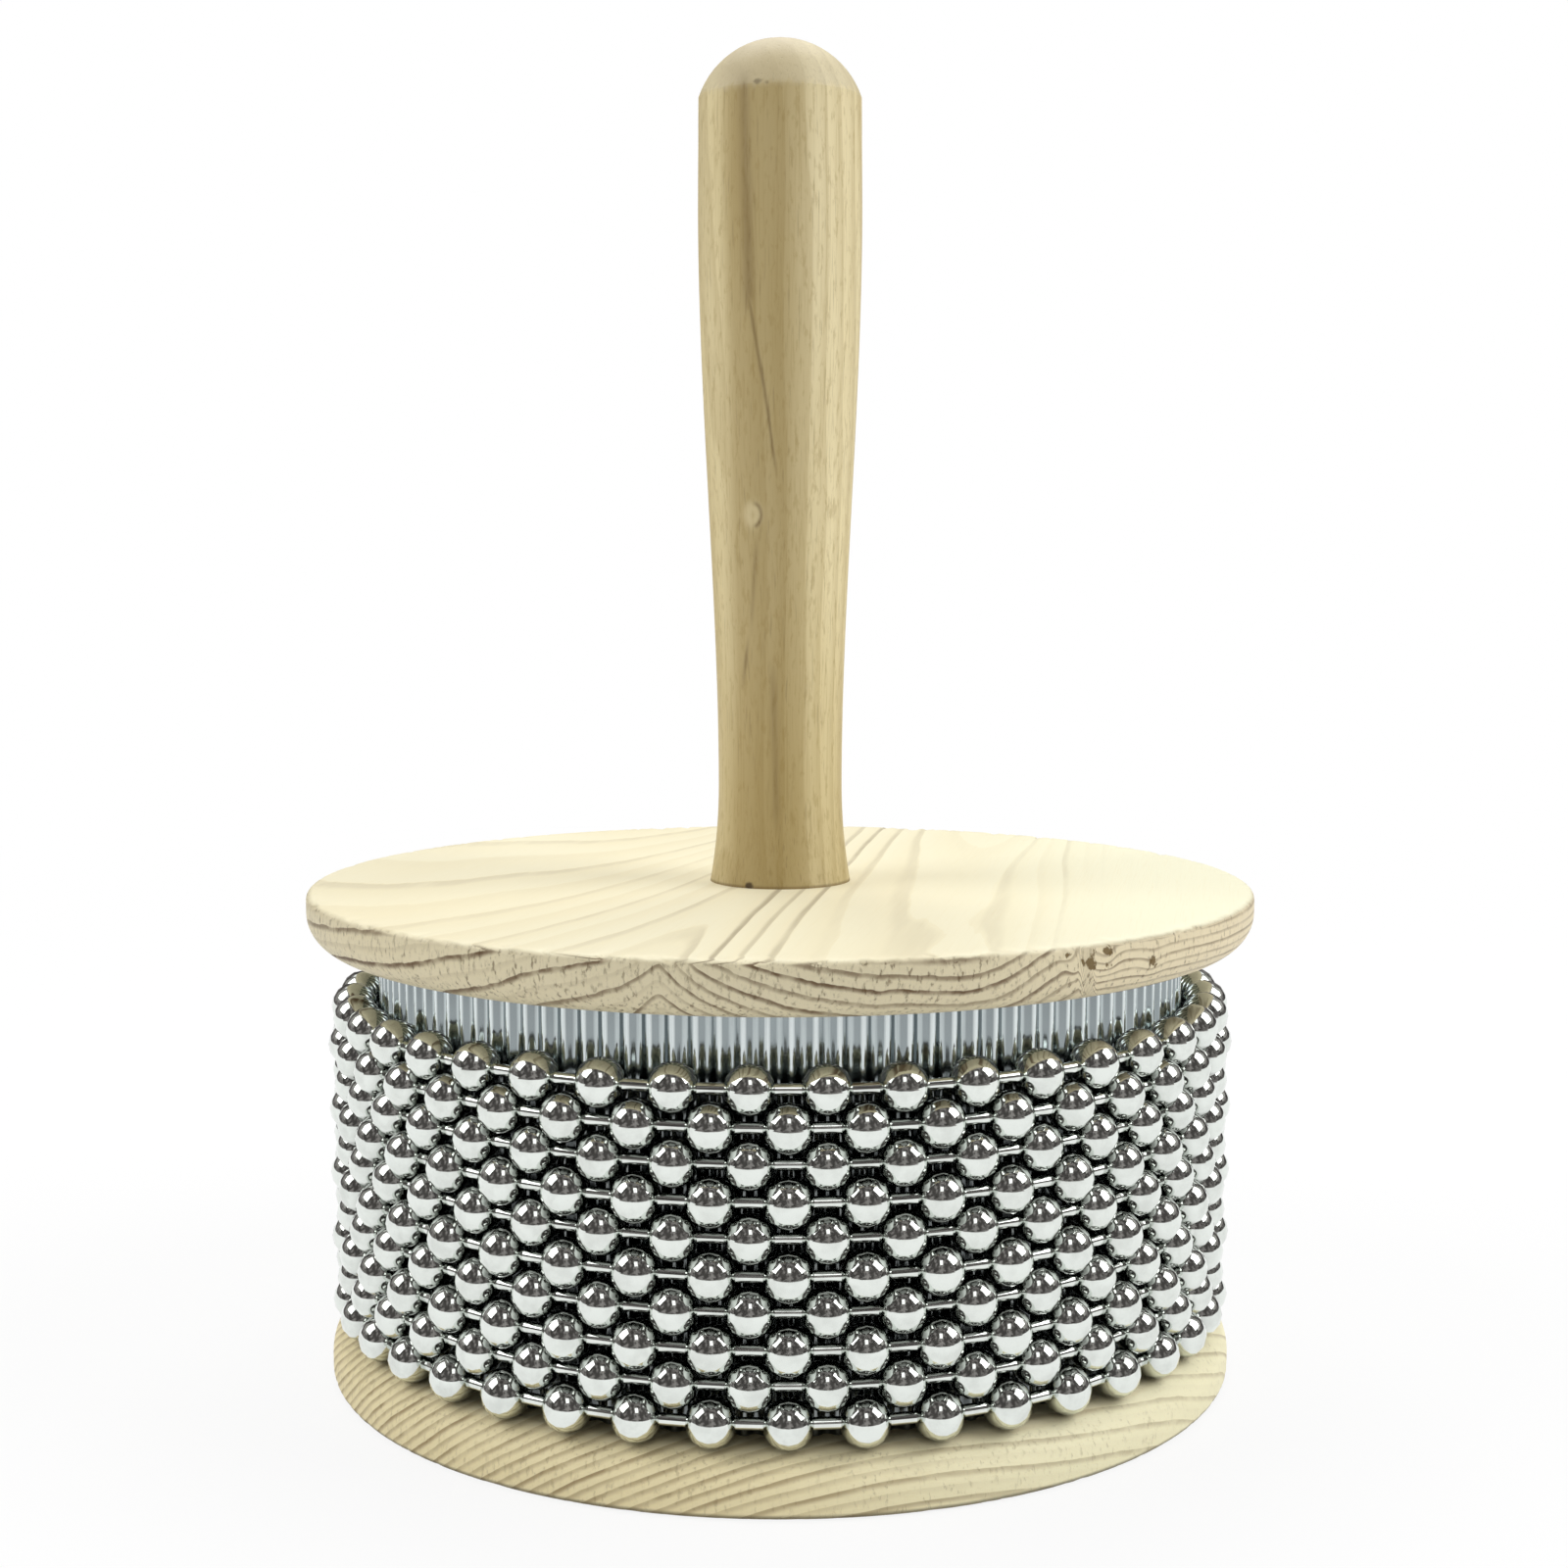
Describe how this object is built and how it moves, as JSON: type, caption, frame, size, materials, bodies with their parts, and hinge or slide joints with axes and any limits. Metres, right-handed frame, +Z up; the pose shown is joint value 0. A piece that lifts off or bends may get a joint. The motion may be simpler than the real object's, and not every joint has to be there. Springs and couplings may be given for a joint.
{
  "type": "cabasa",
  "caption": "Hand percussion cabasa: loops of steel ball chain lie loose round a ribbed steel drum between wooden end discs, with a turned wooden handle.",
  "frame": {"origin": "centre of the underside of the lower disc, on the axis of the drum", "axes": "+Z up the axis of the drum and the handle, -Y towards the viewer of the picture, +X to the right"},
  "size_m": [0.124, 0.124, 0.1724],
  "materials": {
    "handle_wood": "satin oiled hardwood, turned",
    "disc_wood": "matt sanded pine",
    "core_wood": "rough turned softwood",
    "sleeve_steel": "bright rolled steel sheet",
    "chain_steel": "polished nickel-plated steel",
    "screw_steel": "zinc-plated steel"
  },
  "bodies": {
    "drum": {"handle": "handle_wood", "top_disc": "disc_wood", "bottom_disc": "disc_wood", "drum_core": "core_wood", "ribbed_sleeve": "sleeve_steel", "handle_screw": "screw_steel"},
    "loop_01": {"loop_01_balls": "chain_steel", "loop_01_links": "chain_steel"},
    "loop_02": {"loop_02_balls": "chain_steel", "loop_02_links": "chain_steel"},
    "loop_03": {"loop_03_balls": "chain_steel", "loop_03_links": "chain_steel"},
    "loop_04": {"loop_04_balls": "chain_steel", "loop_04_links": "chain_steel"},
    "loop_05": {"loop_05_balls": "chain_steel", "loop_05_links": "chain_steel"},
    "loop_06": {"loop_06_balls": "chain_steel", "loop_06_links": "chain_steel"},
    "loop_07": {"loop_07_balls": "chain_steel", "loop_07_links": "chain_steel"},
    "loop_08": {"loop_08_balls": "chain_steel", "loop_08_links": "chain_steel"},
    "loop_09": {"loop_09_balls": "chain_steel", "loop_09_links": "chain_steel"},
    "loop_10": {"loop_10_balls": "chain_steel", "loop_10_links": "chain_steel"}
  },
  "joints": [
    {"name": "loops_turn", "type": "hinge", "parent": "drum", "child": "loop_01", "pos_m": [0, 0, 0.01], "axis": [0, 0, 1], "continuous": true},
    {"name": "loop_02_lift", "type": "slide", "parent": "loop_01", "child": "loop_02", "axis": [0, 0, 1], "range_m": [0, 0.0005909]},
    {"name": "loop_03_lift", "type": "slide", "parent": "loop_01", "child": "loop_03", "axis": [0, 0, 1], "range_m": [0, 0.00118]},
    {"name": "loop_04_lift", "type": "slide", "parent": "loop_01", "child": "loop_04", "axis": [0, 0, 1], "range_m": [0, 0.00177]},
    {"name": "loop_05_lift", "type": "slide", "parent": "loop_01", "child": "loop_05", "axis": [0, 0, 1], "range_m": [0, 0.00236]},
    {"name": "loop_06_lift", "type": "slide", "parent": "loop_01", "child": "loop_06", "axis": [0, 0, 1], "range_m": [0, 0.00295]},
    {"name": "loop_07_lift", "type": "slide", "parent": "loop_01", "child": "loop_07", "axis": [0, 0, 1], "range_m": [0, 0.00354]},
    {"name": "loop_08_lift", "type": "slide", "parent": "loop_01", "child": "loop_08", "axis": [0, 0, 1], "range_m": [0, 0.00412]},
    {"name": "loop_09_lift", "type": "slide", "parent": "loop_01", "child": "loop_09", "axis": [0, 0, 1], "range_m": [0, 0.00471]},
    {"name": "loop_10_lift", "type": "slide", "parent": "loop_01", "child": "loop_10", "axis": [0, 0, 1], "range_m": [0, 0.0053]}
  ],
  "couplings": [
    {"joint": "loop_02_lift", "follows": "loop_10_lift", "ratio": 0.11111},
    {"joint": "loop_03_lift", "follows": "loop_10_lift", "ratio": 0.22222},
    {"joint": "loop_04_lift", "follows": "loop_10_lift", "ratio": 0.33333},
    {"joint": "loop_05_lift", "follows": "loop_10_lift", "ratio": 0.44444},
    {"joint": "loop_06_lift", "follows": "loop_10_lift", "ratio": 0.55556},
    {"joint": "loop_07_lift", "follows": "loop_10_lift", "ratio": 0.66667},
    {"joint": "loop_08_lift", "follows": "loop_10_lift", "ratio": 0.77778},
    {"joint": "loop_09_lift", "follows": "loop_10_lift", "ratio": 0.88889}
  ]
}
